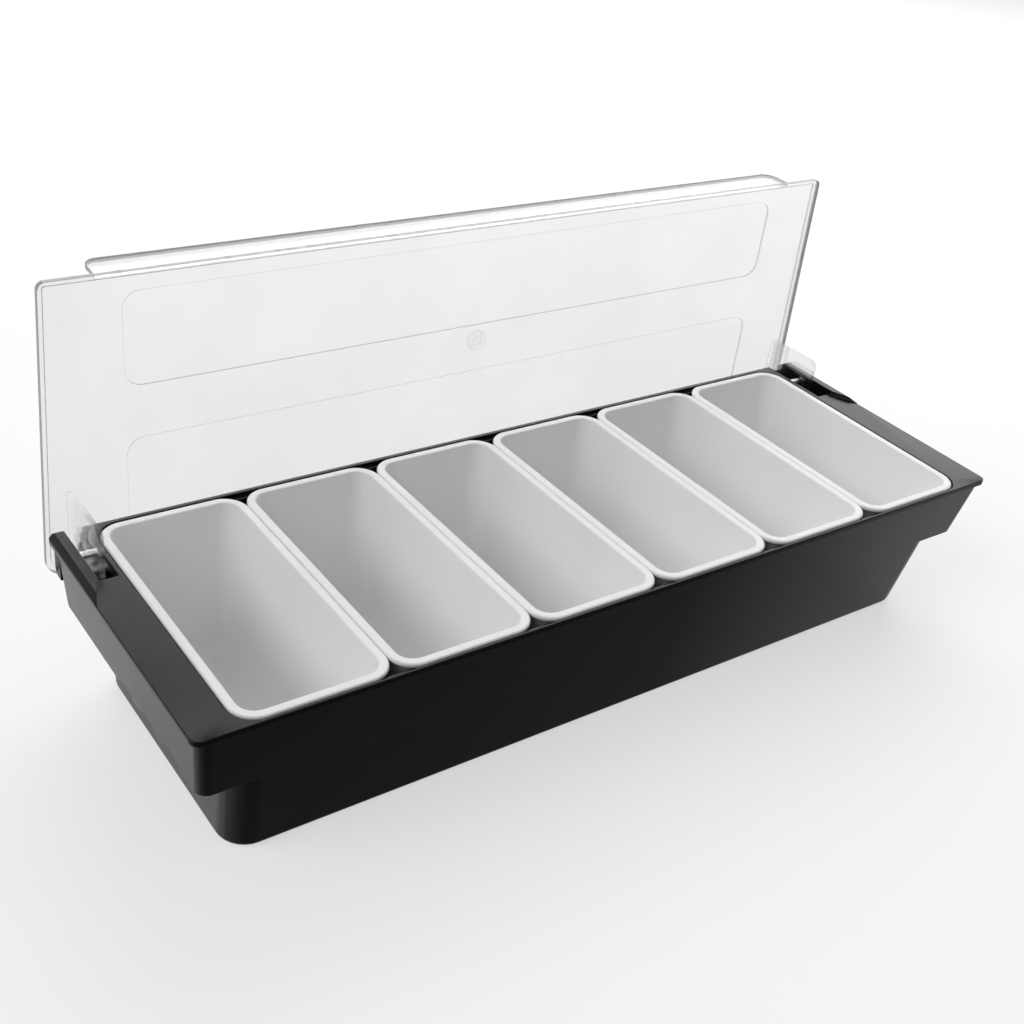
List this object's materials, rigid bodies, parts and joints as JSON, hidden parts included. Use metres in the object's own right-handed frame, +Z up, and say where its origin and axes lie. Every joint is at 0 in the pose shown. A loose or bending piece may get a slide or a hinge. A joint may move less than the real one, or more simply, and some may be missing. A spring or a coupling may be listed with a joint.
{
  "type": "condiment caddy",
  "caption": "Long black countertop caddy with a row of lift-out white inserts and one clear lid that swings up on pins at its ends and stays open.",
  "frame": {"origin": "middle of the resting face on the table, centred along the row and under the middle of the inserts", "axes": "+X along the row of inserts, +Y from the open front towards the hinge and the open lid, +Z up"},
  "size_m": [0.4976, 0.1905, 0.2145],
  "materials": {
    "black_plastic": "satin black moulded plastic",
    "white_plastic": "smooth white moulded plastic",
    "clear_plastic": "clear moulded plastic",
    "pin_steel": "bright drawn steel"
  },
  "bodies": {
    "base": {"tub": "black_plastic", "hinge_pin_left": "pin_steel", "hinge_pin_right": "pin_steel"},
    "lid_body": {"lid": "clear_plastic"},
    "insert_body_1": {"insert_1": "white_plastic"},
    "insert_body_2": {"insert_2": "white_plastic"},
    "insert_body_3": {"insert_3": "white_plastic"},
    "insert_body_4": {"insert_4": "white_plastic"},
    "insert_body_5": {"insert_5": "white_plastic"},
    "insert_body_6": {"insert_6": "white_plastic"}
  },
  "joints": [
    {"name": "lid_hinge", "type": "hinge", "parent": "base", "child": "lid_body", "pos_m": [0, 0.064, 0.0872], "axis": [1, 0, 0], "range_deg": [0, 99.1]},
    {"name": "insert_1_lift", "type": "slide", "parent": "base", "child": "insert_body_1", "axis": [0, 0, -1], "range_m": [-0.085, 0]},
    {"name": "insert_2_lift", "type": "slide", "parent": "base", "child": "insert_body_2", "axis": [0, 0, -1], "range_m": [-0.085, 0]},
    {"name": "insert_3_lift", "type": "slide", "parent": "base", "child": "insert_body_3", "axis": [0, 0, -1], "range_m": [-0.085, 0]},
    {"name": "insert_4_lift", "type": "slide", "parent": "base", "child": "insert_body_4", "axis": [0, 0, -1], "range_m": [-0.085, 0]},
    {"name": "insert_5_lift", "type": "slide", "parent": "base", "child": "insert_body_5", "axis": [0, 0, -1], "range_m": [-0.085, 0]},
    {"name": "insert_6_lift", "type": "slide", "parent": "base", "child": "insert_body_6", "axis": [0, 0, -1], "range_m": [-0.085, 0]}
  ]
}
